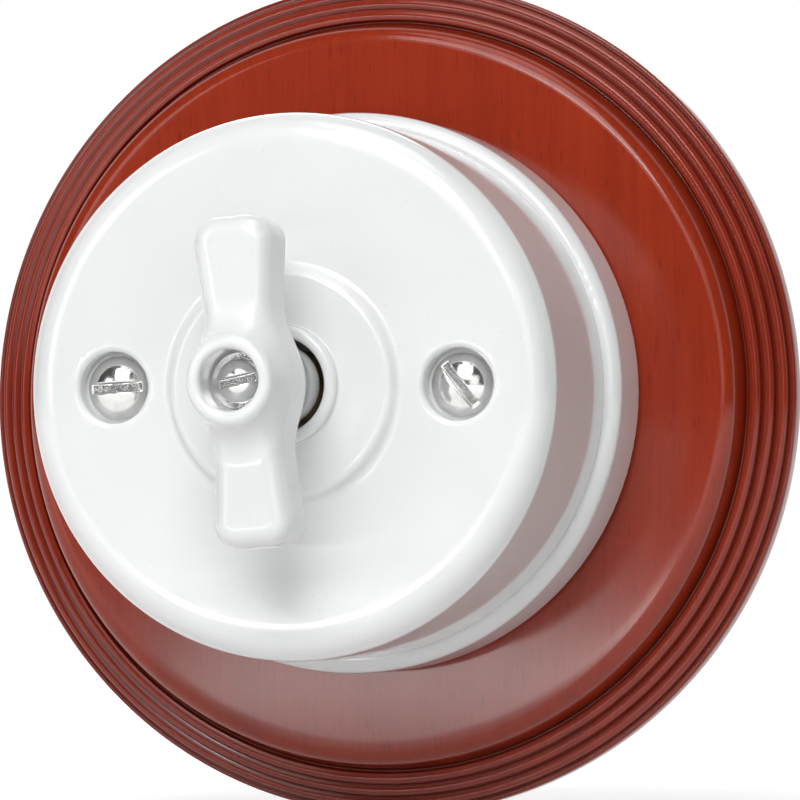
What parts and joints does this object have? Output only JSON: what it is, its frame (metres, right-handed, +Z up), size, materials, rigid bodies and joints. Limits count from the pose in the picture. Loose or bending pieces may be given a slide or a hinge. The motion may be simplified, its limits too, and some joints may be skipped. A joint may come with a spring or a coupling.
{
  "type": "porcelain rotary light switch on a round wooden plinth",
  "caption": "Surface rotary light switch: white porcelain base, cover and winged knob, slotted nickel screws, on a turned reddish wooden plinth with a reeded edge.",
  "frame": {"origin": "centre of the plinth's back face, on the wall", "axes": "+Y points into the wall along the spindle, the knob faces -Y, +Z is up and +X is right seen from the room"},
  "size_m": [0.1, 0.063, 0.1],
  "materials": {
    "glazed_porcelain": "glossy",
    "lacquered_wood": "glossy",
    "nickel_plate": "polished",
    "brass": "satin",
    "spring_bronze": "satin",
    "steel": "satin",
    "bare_ceramic": "matte",
    "fibre": "matte"
  },
  "bodies": {
    "housing": {"wooden_plinth": "lacquered_wood", "porcelain_base": "glazed_porcelain", "porcelain_cover": "glazed_porcelain", "cover_screws": "nickel_plate", "cover_post_left": "brass", "cover_post_right": "brass", "base_fixing_screws": "steel", "fixing_washers": "fibre", "spindle_bush": "brass", "thrust_washer": "fibre", "clip_washer": "steel", "detent_spring_left": "steel", "detent_spring_right": "steel", "terminal_upper_right": "brass", "terminal_upper_left": "brass", "terminal_lower_left": "brass", "terminal_lower_right": "brass", "terminal_clamp_screws": "brass", "terminal_fixing_screws": "brass", "contact_spring_upper_right": "spring_bronze", "contact_spring_upper_left": "spring_bronze", "contact_spring_lower_left": "spring_bronze", "contact_spring_lower_right": "spring_bronze"},
    "rotor": {"porcelain_knob": "glazed_porcelain", "knob_screw": "nickel_plate", "knob_washer": "nickel_plate", "spindle": "steel", "spacer_sleeve": "brass", "contact_drum": "bare_ceramic", "contact_bridge_upper": "spring_bronze", "contact_bridge_lower": "spring_bronze", "detent_cam": "steel", "retaining_clip": "steel"}
  },
  "joints": [
    {"name": "knob_turn", "type": "hinge", "parent": "housing", "child": "rotor", "pos_m": [0, 0, 0], "axis": [0, 1, 0], "continuous": true, "deforming": ["detent_spring_left", "detent_spring_right"]}
  ]
}
